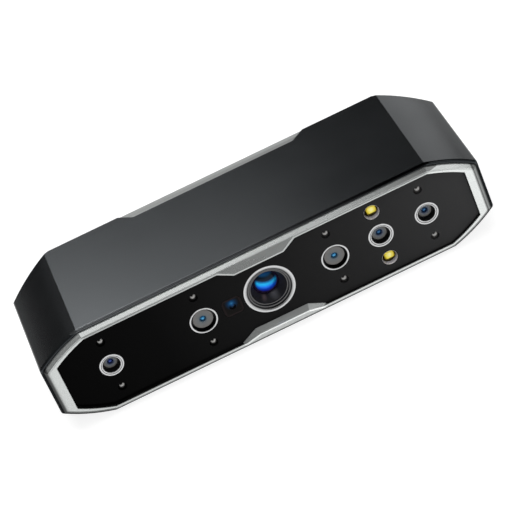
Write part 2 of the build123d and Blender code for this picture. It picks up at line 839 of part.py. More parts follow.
cover_front = rear - rear_setback - rear_skirt
cover_plate = rear_block(rear_inset, cover_front, rear_proud)
sleeve_space = rear_block(0, cover_front, 0)
cover_skirt = rear_block(skirt_inset, rear - rear_skirt, 0)
cover_hollow = rear_block(skirt_inset + rear_skirt_wall, cover_front, rear_proud - rear_plate)
with BuildPart() as rear_cover:
    add(cover_plate)
    chamfer(rim_edges(rear_faces(rear_cover.part)), rear_edge)
    add(sleeve_space, mode=Mode.SUBTRACT)
    add(cover_skirt)
    add(rear_tab.part)
    mirror(rear_tab.part, about=Plane.XY.offset(middle))
    add(cover_hollow, mode=Mode.SUBTRACT)
    with BuildSketch(facing(rear_inner)):
        circles(post_places, screw_boss_radius)
    extrude(amount=screw_boss_height)
    with BuildSketch(facing(rear_inner)):
        circles(board_post_places, board_post_radius)
    extrude(amount=rear_inner - button_board_back)
    with BuildSketch(facing(button_board_back)):
        circles(board_post_places, small_screw_radius + barrel_fit)
    extrude(amount=button_board_thickness - small_screw_length, mode=Mode.SUBTRACT)
    with BuildSketch(facing(rear_face)):
        panel_outline(panel_fit)
    extrude(amount=panel_thickness, mode=Mode.SUBTRACT)
    with BuildSketch(facing(rear_face)):
        button_holes()
        with Locations((usb_x, 0)):
            SlotOverall(usb_width + 2 * usb_gap, usb_height + 2 * usb_gap)
        for side in (1, -1):
            with Locations((side * (vent_x + vent_pitch * (vent_count - 1) / 2), 0)):
                with GridLocations(vent_pitch, 0, vent_count, 1):
                    SlotOverall(vent_length, vent_width, rotation=90)
    extrude(amount=rear_plate, mode=Mode.SUBTRACT)
    with BuildSketch(facing(rear_face)):
        circles(post_places, screw_radius + screw_hole_gap)
    extrude(amount=rear_face - boss_face, mode=Mode.SUBTRACT)
    with BuildSketch(facing(rear_face)):
        circles(post_places, screw_head_radius + screw_hole_gap)
    extrude(amount=screw_head_height, mode=Mode.SUBTRACT)
write(rear_cover, "rear_cover")


def screws(places, seat, way, radius, length, head_radius, head_height):
    """Screws whose heads stand on seat, their shanks running along way: 1 is forward, -1 is to the rear."""
    with BuildSketch(facing(seat)) as heads:
        circles(places, head_radius)
    extrude(heads.sketch, amount=-way * head_height)
    with BuildSketch(facing(seat)) as shanks:
        circles(places, radius)
    extrude(shanks.sketch, amount=way * length)


# Rear screws, and the small screws of the bezel and of the button board
with BuildPart() as rear_screws:
    screws(post_places, rear_face - screw_head_height, 1, screw_radius, screw_length, screw_head_radius,
           screw_head_height)
write(rear_screws, "rear_screws")

with BuildPart() as small_screws:
    screws(bezel_screw_places, bench_back, 1, small_screw_radius, small_screw_length, small_head_radius,
           small_head_height)
    screws(board_post_places, button_board_front, -1, small_screw_radius, small_screw_length,
           small_head_radius, small_head_height)
write(small_screws, "small_screws")

# Button panel
with BuildPart() as button_panel:
    with BuildSketch(facing(rear_face)):
        panel_outline(0)
    extrude(amount=panel_thickness)
    with BuildSketch(facing(rear_face)):
        button_holes()
    extrude(amount=panel_thickness, mode=Mode.SUBTRACT)
write(button_panel, "button_panel")

# Button board and the three switches, each with a well for a button's stem
with BuildPart() as button_board:
    with BuildSketch(facing(button_board_front)):
        RectangleRounded(button_board_width, button_board_height, board_corner)
        circles(board_post_places, small_screw_radius + screw_hole_gap, Mode.SUBTRACT)
    extrude(amount=-button_board_thickness)
write(button_board, "button_board")

with BuildPart() as tact_switches:
    switch_places = [(x, 0) for x, _ in buttons.values()]
    with BuildSketch(facing(button_board_back)):
        with Locations(*switch_places):
            Rectangle(switch_width, switch_width)
    extrude(amount=-switch_height)
    with BuildSketch(facing(switch_top)):
        circles(switch_places, stem_radius + stem_gap)
    extrude(amount=switch_well, mode=Mode.SUBTRACT)
write(tact_switches, "tact_switches")

# Buttons, dished caps with a retaining flange and a stem that stands in its switch
cap_top = rear_face + button_proud
stem_end = switch_top - switch_well + button_travel + switch_gap
for name, (x, radius) in buttons.items():
    with BuildPart() as button:
        turned(x, [(radius - button_edge, cap_top), (radius, cap_top - button_edge), (radius, flange_top),
                   (radius + flange_reach, flange_top), (radius + flange_reach, flange_bottom),
                   (stem_radius, flange_bottom), (stem_radius, stem_end), (0, stem_end),
                   (0, cap_top - button_dish)], button_dish)
    write(button, f"{name}_button")

# Status light pipe from the button board to the panel's face
with BuildPart() as status_light_pipe:
    with BuildSketch(facing(rear_face)):
        circles([(0, light_z)], light_radius)
    extrude(amount=rear_face - button_board_back)
write(status_light_pipe, "status_light_pipe")
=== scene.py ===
import json
from math import cos, pi, radians, sin, sqrt

import bmesh
import bpy
from mathutils import Matrix, Vector


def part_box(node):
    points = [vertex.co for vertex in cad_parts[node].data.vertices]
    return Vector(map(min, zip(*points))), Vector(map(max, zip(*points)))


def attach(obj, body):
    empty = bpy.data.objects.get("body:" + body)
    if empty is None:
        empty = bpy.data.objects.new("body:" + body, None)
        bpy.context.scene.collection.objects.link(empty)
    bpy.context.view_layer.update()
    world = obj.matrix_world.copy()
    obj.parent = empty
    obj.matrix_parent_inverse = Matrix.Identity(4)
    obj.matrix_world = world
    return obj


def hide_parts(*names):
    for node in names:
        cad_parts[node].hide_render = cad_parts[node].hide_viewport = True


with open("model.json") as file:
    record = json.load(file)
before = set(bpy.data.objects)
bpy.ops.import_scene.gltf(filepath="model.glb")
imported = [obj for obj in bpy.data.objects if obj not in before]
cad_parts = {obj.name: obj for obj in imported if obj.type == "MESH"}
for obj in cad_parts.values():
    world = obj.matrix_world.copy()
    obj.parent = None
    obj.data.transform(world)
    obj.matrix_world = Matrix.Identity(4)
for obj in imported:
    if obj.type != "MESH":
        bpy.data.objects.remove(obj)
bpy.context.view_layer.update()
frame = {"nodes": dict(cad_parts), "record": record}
nodes = frame["nodes"]

# Sizes are metres, in the scanner's own frame: +X right seen from the front, the window faces -Y, +Z up.
MM = 0.001
MIDDLE = 18.1 * MM  # height of the lens axes
HALF_WIDTH = 79.7 * MM  # of the housing
GLASS_REACH = 74 * MM  # of the window to each side
WINDOW_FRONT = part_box("front_window")[0].y
LED_RISE = 9.85 * MM  # of the leds above and below the lens axes
PAD_SHIFT = 0.25 * MM  # of the phosphor pads to the right of their bowls
DISTANCE_SENSOR_X = -13.5 * MM
TRIPOD_Y = -1.195 * MM
SOCKET_X = -54.0 * MM  # of the cable socket in the rear
SIDE_BUTTON_X = 15 * MM

# Cameras from left to right: place, radius of the nose, radius of the pupil
CAMERAS = {
    "far_left": (-57.7 * MM, 2.35 * MM, 0.95 * MM),
    "near_left": (-24.1 * MM, 3.5 * MM, 1.0 * MM),
    "near_right": (24.1 * MM, 3.5 * MM, 1.0 * MM),
    "colour": (40.9 * MM, 2.6 * MM, 1.0 * MM),
    "far_right": (57.7 * MM, 2.35 * MM, 0.95 * MM),
}
CAMERA_RING_WIDTH = 1.15 * MM
PROJECTOR_RING_WIDTH = 1.2 * MM

# The camera, as the photograph was taken
VIEW_AIM = Vector((0.184, -24.523, 32.444)) * MM
VIEW_DISTANCE = 828.1 * MM
VIEW_AZIMUTH = -2.88
VIEW_ELEVATION = 34.69
VIEW_ROLL = -24.05
VIEW_LENS = 178.8
SENSOR_WIDTH = 36.0

# Studio lamps: name, place, aim, width, height, how many times as bright as white, whether gloss mirrors them
LAMPS = (
    ("rear left", (-0.21, 0.6, 0.69), (-0.21, 0.0, 0.31), 0.3, 0.38, 5.6, True),
    ("rear middle", (0.0, 0.6, 0.69), (0.0, 0.0, 0.31), 0.13, 0.38, 2.5, True),
    ("rear right", (0.345, 0.6, 0.245), (0.07, 0.0, 0.03), 0.27, 0.24, 1.35, True),
    ("front left", (-0.10, -0.37, 0.53), (-0.03, -0.02, 0.03), 0.26, 0.2, 1.15, True),
    ("front right", (0.445, -0.32, 0.39), (0.03, -0.02, 0.02), 0.25, 0.25, 0.85, True),
    ("overhead left", (-0.3, 0.05, 1.0), (-0.3, 0.05, 0), 0.4, 0.5, 2.0, True),
    ("overhead", (0.2, 0, 1.0), (0.2, 0, 0), 0.8, 1.0, 2.0, False),
    ("front fill", (0, -1.1, 0.7), (0, 0, 0.02), 1.2, 0.8, 2.2, False),
)

# Brightness of the window from left to right, lighter to the right as a painted reflection, and of the rings from
# their inner to their outer edge, with painted shade at both edges and in the groove
GLASS_LEVELS = ((0.0, 0.0008), (0.23, 0.0024), (0.5, 0.0105), (0.72, 0.021), (1.0, 0.042))
CAMERA_RING_LEVELS = ((0.022, 0.008), (0.04, 0.6), (0.33, 0.66), (0.36, 0.03), (0.5, 0.03), (0.54, 0.6),
                      (0.93, 0.6), (1.0, 0.16))
PROJECTOR_RING_LEVELS = ((0.0, 0.16), (0.42, 0.6), (0.45, 0.6), (0.49, 0.16), (0.53, 0.6), (0.93, 0.6), (1.0, 0.16))

# Camera barrels: their face, the haze on it and the halo round the pupil. Lenses: from their middle to their rim
NEAR_BARREL = ((0.15, 0.145, 0.14), (0.11, 0.125, 0.135), (0.02, 0.06, 0.10))
DEEP_BARREL = ((0.125, 0.122, 0.115), (0.10, 0.12, 0.15), (0.015, 0.025, 0.07))
NEAR_BLUE = ((0.1, 0.42, 0.72), (0.02, 0.16, 0.34), (0.01, 0.08, 0.18))
NAVY_BLUE = ((0.04, 0.08, 0.3), (0.015, 0.035, 0.17), (0.010, 0.02, 0.09))
TEAL_BLUE = ((0.03, 0.14, 0.32), (0.012, 0.07, 0.18), (0.008, 0.03, 0.08))


def placed(name, data):
    """A new object in the scene."""
    thing = bpy.data.objects.new(name, data)
    bpy.context.scene.collection.objects.link(thing)
    return thing


def step(tree, kind, inputs=None, **settings):
    """The outputs of a new node with these settings, whose inputs are values or other nodes' outputs."""
    node = tree.nodes.new(kind)
    for name, value in settings.items():
        setattr(node, name, value)
    for socket, value in (inputs or {}).items():
        if isinstance(value, bpy.types.NodeSocket):
            tree.links.new(value, node.inputs[socket])
        else:
            node.inputs[socket].default_value = value
    return node.outputs


def add(tree, kind, inputs=None, **settings):
    """The outputs of a new shader or maths node."""
    return step(tree, "ShaderNode" + kind, inputs, **settings)


def shape(tree, kind, inputs=None, **settings):
    """The outputs of a new geometry node."""
    return step(tree, "GeometryNode" + kind, inputs, **settings)


def maths(tree, kind, *values):
    """The result of one maths node."""
    return add(tree, "Math", dict(enumerate(values)), operation=kind)[0]


def times(tree, first, *others):
    """The product of several values."""
    for value in others:
        first = maths(tree, "MULTIPLY", first, value)
    return first


def largest(tree, first, *others):
    """The largest of several values."""
    for value in others:
        first = maths(tree, "MAXIMUM", first, value)
    return first


def enlarged(tree, vector, size):
    """A vector or colour, times a number."""
    return add(tree, "VectorMath", {0: vector, 3: size}, operation="SCALE")[0]


def length_of(tree, vector):
    """The length of a vector."""
    return add(tree, "VectorMath", {0: vector}, operation="LENGTH")["Value"]


def parts_of(tree, vector):
    """The X, Y and Z of a vector."""
    return add(tree, "SeparateXYZ", {"Vector": vector})


def mixed(tree, share, first, second):
    """A colour between the first, at a share of 0, and the second, at 1."""
    return add(tree, "Mix", {0: share, 6: first, 7: second}, data_type="RGBA")[2]


def scaled(tree, value, low, high, to_low=0.0, to_high=1.0):
    """A value brought from one range to another, and held there."""
    return add(tree, "MapRange", {"Value": value, "From Min": low, "From Max": high,
                                  "To Min": to_low, "To Max": to_high})["Result"]


def fading(tree, value, low, high):
    """1 up to the low value, and from there down to 0 at the high one."""
    return scaled(tree, value, low, high, 1.0, 0.0)


def inside(tree, mask, level):
    """A level inside a mask, and 1 outside it."""
    return scaled(tree, mask, 0.0, 1.0, 1.0, level)


def look(place, aim, roll=0.0):
    """The matrix of a camera or lamp at place that looks at aim."""
    turn = (aim - place).to_track_quat("-Z", "Y").to_matrix().to_4x4()
    return Matrix.Translation(place) @ turn @ Matrix.Rotation(radians(roll), 4, "Z")


def set_camera():
    """The camera at the photograph's angle."""
    data = bpy.data.cameras.new("camera")
    data.lens = VIEW_LENS
    data.sensor_width = SENSOR_WIDTH
    data.clip_start = 0.01
    camera = placed("camera", data)
    way = Matrix.Rotation(radians(VIEW_AZIMUTH), 3, "Z") @ Matrix.Rotation(radians(-VIEW_ELEVATION), 3, "X")
    place = VIEW_AIM + way @ Vector((0, -VIEW_DISTANCE, 0))
    camera.matrix_world = look(place, VIEW_AIM, VIEW_ROLL)
    bpy.context.scene.camera = camera


def softbox(name, place, aim, width, height, glow, mirrored):
    """A rectangular studio lamp that looks at aim, whose face is glow times as bright as white."""
    data = bpy.data.lights.new(name, "AREA")
    data.shape = "RECTANGLE"
    data.size = width
    data.size_y = height
    data.energy = glow * pi * width * height
    lamp = placed(name, data)
    lamp.matrix_world = look(Vector(place), Vector(aim))
    lamp.visible_camera = False
    lamp.visible_glossy = mirrored


def set_world(front, back):
    """Soft light from all round, brighter from the front than from behind."""
    world = bpy.data.worlds.new("studio")
    bpy.context.scene.world = world
    world.use_nodes = True
    tree = world.node_tree
    way = parts_of(tree, add(tree, "TexCoord")["Generated"])
    sky = tree.nodes["Background"]
    sky.inputs["Color"].default_value = (1, 1, 1, 1)
    tree.links.new(scaled(tree, way["Y"], -1.0, 1.0, front, back), sky.inputs["Strength"])


def set_floor(shade, lift):
    """A pale floor with low walls far away, white to the camera, metal and glass, which keeps the shadow."""
    reach, level, wall_top = 4.0, -0.2 * MM, 0.6
    mesh = bpy.data.meshes.new("floor")
    corners = [(-reach, -reach), (reach, -reach), (reach, reach), (-reach, reach)]
    walls = [((side + 1) % 4, side, side + 4, (side + 1) % 4 + 4) for side in range(4)]
    mesh.from_pydata([(x, y, z) for z in (level, wall_top) for x, y in corners], [], [(0, 1, 2, 3), *walls])
    floor = placed("floor", mesh)
    material = bpy.data.materials.new("floor")
    material.use_nodes = True
    tree = material.node_tree
    paths = add(tree, "LightPath")
    seen = largest(tree, paths["Is Camera Ray"], paths["Is Glossy Ray"], paths["Is Transmission Ray"])
    pale = add(tree, "BsdfDiffuse", {"Color": (0.9, 0.9, 0.9, 1)})[0]
    shaded = add(tree, "BsdfDiffuse", {"Color": (shade, shade, shade, 1)})[0]
    white = add(tree, "Emission", {"Color": (1, 1, 1, 1), "Strength": lift})[0]
    lit = add(tree, "AddShader", {0: shaded, 1: white})[0]
    both = add(tree, "MixShader", {0: seen, 1: pale, 2: lit})[0]
    tree.links.new(both, tree.nodes["Material Output"].inputs["Surface"])
    mesh.materials.append(material)


def finish(name, colour, rough, metal=0.0, others=None):
    """A material whose shader has these even values."""
    material = bpy.data.materials.new(name)
    material.use_nodes = True
    values = {"Base Color": (*colour, 1), "Roughness": rough, "Metallic": metal}
    values.update(others or {})
    for socket, value in values.items():
        material.node_tree.nodes["Principled BSDF"].inputs[socket].default_value = value
    return material


def drive(tree, socket, output):
    """Lets a node set one of the shader's values."""
    tree.links.new(output, tree.nodes["Principled BSDF"].inputs[socket])


def surface(tree, centre=(0, 0, 0), stretch=(1, 1, 1)):
    """The piece's own coordinates, counted from centre and stretched."""
    start = [-place * size for place, size in zip(centre, stretch)]
    return add(tree, "Mapping", {"Vector": add(tree, "TexCoord")["Object"], "Location": start,
                                 "Scale": stretch})["Vector"]


def from_axis(tree, x, z=MIDDLE):
    """Distance from a line that runs front to rear."""
    flat = add(tree, "VectorMath", {0: surface(tree, (x, 0, z)), 1: (1, 0, 1)}, operation="MULTIPLY")[0]
    return length_of(tree, flat)


def patches(tree, size, stretch=(1, 1, 1)):
    """Cloudy patches of about this size."""
    return add(tree, "TexNoise", {"Vector": surface(tree, stretch=stretch), "Scale": 1 / size, "Detail": 3.0})["Fac"]


def uneven(tree, socket, size, low, high, stretch=(1, 1, 1)):
    """One of the shader's values, which drifts between low and high in patches."""
    drive(tree, socket, scaled(tree, patches(tree, size, stretch), 0.3, 0.7, low, high))


def raised(tree, height, depth):
    """Fine relief of this depth."""
    drive(tree, "Normal", add(tree, "Bump", {"Height": height, "Distance": depth})["Normal"])


def turning(tree, x, pitch):
    """The fine rings that a lathe leaves round a lens axis."""
    return maths(tree, "SINE", times(tree, from_axis(tree, x), 2 * pi / pitch))


def shades(tree, value, stops):
    """The colours that a value from 0 to 1 runs through."""
    colour_out = add(tree, "ValToRGB", {"Fac": value})["Color"]
    marks = colour_out.node.color_ramp.elements
    for mark, (place, colour) in zip(marks, (stops[0], stops[-1])):
        mark.position = place
        mark.color = (*colour, 1)
    for place, colour in stops[1:-1]:
        marks.new(place).color = (*colour, 1)
    return colour_out


def tinted(tint, levels):
    """Stops of one tint at several levels."""
    return [(place, [part * level for part in tint]) for place, level in levels]


def satin_shell():
    """Black satin paint with a fine grain, matt round its lower rim, with a painted highlight on the rounded edge
    above the bezel.
    """
    material = finish("satin black paint", (0.003, 0.0033, 0.0037), 0.25,
                      others={"Specular Tint": (0.84, 0.935, 1.0, 1)})
    tree = material.node_tree
    paint = shades(tree, patches(tree, 9 * MM), [(0.3, (0.0027, 0.003, 0.0034)), (0.7, (0.0033, 0.0036, 0.004))])
    gloss = scaled(tree, patches(tree, 14 * MM), 0.3, 0.7, 0.235, 0.265)
    x, y, z = parts_of(tree, surface(tree))
    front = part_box("housing_shell")[0].y
    rim = fading(tree, y, front + 0.7 * MM, front + 0.95 * MM)
    matt = times(tree, rim, scaled(tree, z, MIDDLE + 8 * MM, MIDDLE + 9.5 * MM, 0.75, 0.0))
    drive(tree, "Roughness", maths(tree, "ADD", gloss, matt))
    # Painted highlight on the rounded upper edge: light at the left, fading to nearly black at the right, and
    # metallic there
    painted_edge_highlight = times(tree, rim, scaled(tree, z, MIDDLE + 17.2 * MM, MIDDLE + 17.4 * MM))
    bright = shades(tree, scaled(tree, x, -60 * MM, 60 * MM), [
        (0.0, (0.13, 0.137, 0.142)), (0.45, (0.095, 0.1, 0.104)), (0.65, (0.042, 0.044, 0.046)),
        (0.9, (0.004, 0.004, 0.0044))])
    drive(tree, "Base Color", mixed(tree, painted_edge_highlight, paint, bright))
    drive(tree, "Metallic", painted_edge_highlight)
    raised(tree, patches(tree, 0.16 * MM), 0.5e-6)
    return material


def silver_bezel():
    """Bead-blasted silver whose brightness is painted light and shade: gray brows, dark ends, near-black walls round
    the window, a pale strip over a dark line on the lower chamfer.
    """
    tint, metal, dull_metal = (0.965, 1.0, 0.985), 0.82, 0.45
    material = finish("silver bezel", [part * 0.7 for part in tint], 0.27, metal,
                      {"Specular Tint": (0.25, 0.25, 0.25, 1)})
    tree = material.node_tree
    place = surface(tree, (0, 0, MIDDLE))
    x, y, z = parts_of(tree, place)
    normal = add(tree, "TexCoord")["Normal"]
    sideways, forward, upward = parts_of(tree, normal)
    away = maths(tree, "ABSOLUTE", x)

    # Painted shade and reflection over the whole width, by millimetres from the middle: dark ends, a little lighter
    # to the right
    levels = [(-79.7, 0.05), (-77.95, 0.06), (-77.5, 0.2), (-77.1, 0.58), (0, 0.7), (76.8, 0.77), (77.1, 0.1),
              (77.6, 0.1), (77.8, 0.34), (78.25, 0.34), (78.4, 0.06), (79.7, 0.06)]
    along = shades(tree, scaled(tree, x, -HALF_WIDTH, HALF_WIDTH), tinted(tint, [
        ((at * MM / HALF_WIDTH + 1) / 2, level) for at, level in levels]))

    # Where the facets lie
    straight = fading(tree, away, 61.5 * MM, 63 * MM)
    tab = fading(tree, away, 15.1 * MM, 15.3 * MM)
    low_tab = times(tree, tab, fading(tree, z, -11 * MM, -10 * MM))
    tab_end = times(tree, low_tab, scaled(tree, sideways, 0.15, 0.3))
    tab_edge = times(tree, low_tab, fading(tree, forward, -0.97, -0.93))
    visor = times(tree, tab, scaled(tree, z, -15.8 * MM, -15.7 * MM))
    ledge = times(tree, scaled(tree, upward, 0.4, 0.6), fading(tree, z, -1 * MM, 1 * MM))
    upper_chamfer = times(tree, scaled(tree, z, 15.6 * MM, 15.75 * MM), scaled(tree, upward, 0.3, 0.5))
    downward = fading(tree, upward, -0.4, -0.2)
    lower_chamfer = times(tree, downward, straight)
    line = times(tree, lower_chamfer, fading(tree, z, -16.3 * MM, -16.2 * MM))
    pale = times(tree, lower_chamfer, scaled(tree, z, -16.3 * MM, -16.2 * MM), inside(tree, visor, 0.0))

    # Painted shade on the brows, on the straight part only
    gray = 0.68
    brow_shade = times(tree, scaled(tree, z, 10.2 * MM, 10.6 * MM, 1.0, gray),
                 scaled(tree, z, 15.75 * MM, 15.9 * MM, 1.0, 1 / gray))
    brow_shade = maths(tree, "ADD", times(tree, maths(tree, "SUBTRACT", brow_shade, 1.0), straight), 1.0)

    # Walls round the window, which face against the normals of an ellipse of its proportions, darkened nearly to
    # black as painted shade
    flatness = 0.0414
    flat = add(tree, "VectorMath", {0: place, 1: (flatness, 0, 1)}, operation="MULTIPLY")[0]
    outward = add(tree, "VectorMath", {0: flat}, operation="NORMALIZE")[0]
    facing = add(tree, "VectorMath", {0: outward, 1: normal}, operation="DOT_PRODUCT")["Value"]
    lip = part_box("front_bezel")[0].y + 1.34 * MM
    wall = largest(tree, scaled(tree, facing, -0.35, -0.2, 0.02, 1.0),
                   fading(tree, y, lip + 0.3 * MM, lip + 0.4 * MM), tab)

    # All levels together: painted shade on the right of the upper chamfer, on the ledges and on downward faces, a
    # painted shadow line, and painted highlights on the tab's ends and edge and on the strip above the line
    right = scaled(tree, x, 30 * MM, 62 * MM, 1.0, 0.38)
    zones = [(upper_chamfer, right), (ledge, 0.7), (tab_end, 1.7), (tab_edge, 1.25), (pale, 3.0), (line, 0.1)]
    level = times(tree, brow_shade, largest(tree, inside(tree, downward, 0.18), visor), wall,
                  *[inside(tree, mask, share) for mask, share in zones])
    drive(tree, "Base Color", enlarged(tree, along, level))
    dull = largest(tree, ledge, tab_end, pale)
    drive(tree, "Metallic", largest(tree, scaled(tree, dull, 0.0, 1.0, metal, dull_metal), line))
    uneven(tree, "Roughness", 2.5 * MM, 0.25, 0.29, (0.15, 1, 1))
    raised(tree, patches(tree, 0.5 * MM), 0.15e-6)
    return material


def glass_shade(tree, tint):
    """The colour of the front's printed glass, with a painted reflection that makes it a little lighter towards the
    right.
    """
    along = parts_of(tree, surface(tree))["X"]
    return shades(tree, scaled(tree, along, -GLASS_REACH, GLASS_REACH), tinted(tint, GLASS_LEVELS))


def window_glass():
    """Dark glass, printed black behind."""
    material = finish("window glass", (GLASS_LEVELS[0][1],) * 3, 0.06, others={"Specular IOR Level": 0.02})
    tree = material.node_tree
    # Printed black, lighter to the right as a painted reflection
    drive(tree, "Base Color", glass_shade(tree, (1, 1, 1.02)))
    uneven(tree, "Roughness", 20 * MM, 0.04, 0.08)
    return material


def ring_metal(name, x, outer, inner, levels, chamfer_metal):
    """Turned silver, whose brightness changes from its inner chamfer over a fine groove to its outer edge; the dark
    bands at the edges and in the groove are painted shade.
    """
    material = finish(name, (0.6, 0.605, 0.61), 0.3, 1.0)
    tree = material.node_tree
    share = scaled(tree, from_axis(tree, x), inner, outer)
    drive(tree, "Base Color", shades(tree, share, tinted((1, 1.008, 1.016), levels)))
    drive(tree, "Metallic", scaled(tree, share, 0.38, 0.42, chamfer_metal, 1.0))
    uneven(tree, "Roughness", 0.8 * MM, 0.27, 0.33)
    raised(tree, turning(tree, x, 0.12 * MM), 0.6e-6)
    return material


def barrel_black(name, x, nose_radius, pupil, face, haze, halo):
    """A lens barrel: a gray face, dark round the pupil, in a well painted black as its shade."""
    material = finish(name, face, 0.45)
    tree = material.node_tree
    edge = nose_radius - 0.06 * MM
    # Beyond the edge of the nose the colour turns near black: painted shade in the well
    stops = [(0.0, halo), (pupil * 1.03 / nose_radius, halo), (pupil * 1.4 / nose_radius, haze), (0.85, face),
             (edge / nose_radius, face), (1.0, (0.004, 0.004, 0.005))]
    drive(tree, "Base Color", shades(tree, scaled(tree, from_axis(tree, x), 0, nose_radius), stops))
    uneven(tree, "Roughness", 0.7 * MM, 0.4, 0.5)
    raised(tree, turning(tree, x, 0.1 * MM), 0.5e-6)
    return material


def coated_lens(name, x, radius, colours):
    """Coated glass, whose colour runs from its middle to its rim."""
    material = finish(name, colours[0], 0.08, 0.6)
    tree = material.node_tree
    stops = [(index / (len(colours) - 1), colour) for index, colour in enumerate(colours)]
    drive(tree, "Base Color", shades(tree, scaled(tree, from_axis(tree, x), 0, radius), stops))
    uneven(tree, "Roughness", 0.5 * MM, 0.06, 0.1)
    return material


def projector_coating():
    """Coated blue glass with painted reflections: blue at the top, a dark hollow, a cyan arc across the middle, then
    blue and purple.
    """
    material = finish("projector coating", (0.01, 0.1, 0.6), 0.12, 0.3, {"Specular IOR Level": 0.2})
    tree = material.node_tree
    away = from_axis(tree, 1.75 * MM, MIDDLE + 8.8 * MM)
    # Painted reflections: rings of colour round a point above the lens
    painted_reflection_arcs = shades(tree, scaled(tree, away, 4.5 * MM, 13.5 * MM), [
        (0.03, (0.008, 0.07, 0.24)), (0.13, (0.008, 0.1, 0.28)), (0.19, (0.005, 0.04, 0.1)),
        (0.23, (0.002, 0.01, 0.02)), (0.35, (0.002, 0.012, 0.035)), (0.41, (0.005, 0.2, 0.5)),
        (0.47, (0.01, 0.52, 1.0)), (0.54, (0.008, 0.38, 1.0)), (0.62, (0.005, 0.15, 0.95)),
        (0.74, (0.005, 0.045, 0.6)), (0.83, (0.02, 0.015, 0.34)), (0.9, (0.1, 0.015, 0.2)),
        (0.97, (0.012, 0.006, 0.04))])
    # Painted shade: dimmer towards the right, and dark beyond the lens's rim
    along = parts_of(tree, surface(tree))["X"]
    lit = enlarged(tree, painted_reflection_arcs, scaled(tree, along, -0.5 * MM, 4 * MM, 1.0, 0.5))
    clear = fading(tree, from_axis(tree, 0.1 * MM, MIDDLE + 0.6 * MM), 3.4 * MM, 3.9 * MM)
    drive(tree, "Base Color", mixed(tree, clear, (0.02, 0.012, 0.04, 1), lit))
    uneven(tree, "Roughness", 0.8 * MM, 0.1, 0.15)
    return material


def sensor_glass(name, gain):
    """Dark glass of the distance sensor with a faint frame, and the blue of its sunk lens painted on, lightest at its
    middle as a painted highlight.
    """
    material = finish(name, (0.01, 0.009, 0.008), 0.06, others={"Specular IOR Level": 0.02})
    tree = material.node_tree
    away = from_axis(tree, DISTANCE_SENSOR_X, MIDDLE + 1.35 * MM)
    glow = shades(tree, scaled(tree, away, 0, 4 * MM), [
        (0.0, (0.04, 0.2, 0.42)), (0.12, (0.014, 0.09, 0.22)), (0.24, (0.006, 0.04, 0.11)),
        (0.38, (0.007, 0.02, 0.045)), (0.6, (0.008, 0.0075, 0.0075)), (1.0, (0.010, 0.009, 0.0085))])
    place = surface(tree, (DISTANCE_SENSOR_X, 0, MIDDLE))
    aside = parts_of(tree, add(tree, "VectorMath", {0: place}, operation="ABSOLUTE")[0])
    border = scaled(tree, largest(tree, aside["X"], aside["Z"]), 2.6 * MM, 2.9 * MM)
    drive(tree, "Base Color", enlarged(tree, mixed(tree, border, glow, (0.018, 0.0135, 0.014, 1)), gain))
    uneven(tree, "Roughness", 3 * MM, 0.04, 0.08)
    return material


def projector_black():
    """Black anodised steps round the projector's lens, with painted highlights on their edges and two faint patches
    of painted light low in their bowl.
    """
    material = finish("projector black", (0.012, 0.012, 0.014), 0.35)
    tree = material.node_tree
    # The edges of the steps are lighter: painted highlights
    dark, edge = (0.010, 0.010, 0.012), (0.10, 0.1, 0.1)
    reach, blur = 8.0, 0.008
    stops = [(0.0, dark)]
    for inner, outer in ((6.38, 6.62), (7.08, 7.32)):
        stops += [(inner / reach - blur, dark), (inner / reach, edge), (outer / reach, edge),
                  (outer / reach + blur, dark)]
    stops.append((1.0, dark))
    colour = shades(tree, scaled(tree, from_axis(tree, 0), 0, reach * MM), stops)
    # Painted light: two faint patches low in the bowl
    for x, z, size, glow in ((0.9, -4.5, 1.9, (0.075, 0.075, 0.085, 1)), (-2.6, -4.4, 1.1, (0.07, 0.05, 0.055, 1))):
        haze = fading(tree, from_axis(tree, x * MM, MIDDLE + z * MM), 0.1 * MM, size * MM)
        colour = mixed(tree, haze, colour, glow)
    drive(tree, "Base Color", colour)
    uneven(tree, "Roughness", 1.0 * MM, 0.3, 0.4)
    return material


def infrared_glass():
    """Dark glass domes in the window's colour and painted reflection, each with a painted highlight: a gray crescent
    on the dome.
    """
    material = finish("infrared lamp", (0.01, 0.01, 0.01), 0.3, others={"Specular IOR Level": 0.1})
    tree = material.node_tree
    place = parts_of(tree, surface(tree, (0, 0, MIDDLE)))

    def from_nearest(along, inner, outer):
        """A place counted from the nearer of the two leds on its side of the middle."""
        far = maths(tree, "GREATER_THAN", maths(tree, "ABSOLUTE", along), (inner + outer) / 2)
        led = maths(tree, "MULTIPLY_ADD", far, outer - inner, inner)
        return maths(tree, "SUBTRACT", along, times(tree, maths(tree, "SIGN", along), led))

    spot = add(tree, "CombineXYZ", {
        "X": from_nearest(place["X"], CAMERAS["near_right"][0], CAMERAS["far_right"][0]),
        "Z": from_nearest(place["Z"], LED_RISE, LED_RISE)})[0]

    def distance(across, up):
        """Distance from a point beside each led's middle."""
        return length_of(tree, add(tree, "VectorMath", {0: spot, 1: (across, 0, up)}, operation="SUBTRACT")[0])

    # Painted highlight: a disc with a hollow taken from its top, which leaves a gray crescent
    disc = fading(tree, distance(0.05 * MM, 0.65 * MM), 0.65 * MM, 1.0 * MM)
    hollow = scaled(tree, distance(-0.15 * MM, 1.15 * MM), 0.4 * MM, 0.75 * MM)
    glass = glass_shade(tree, (0.85, 0.8, 0.78))
    drive(tree, "Base Color", mixed(tree, times(tree, disc, hollow), glass, (0.38, 0.375, 0.365, 1)))
    uneven(tree, "Roughness", 0.4 * MM, 0.25, 0.35)
    return material


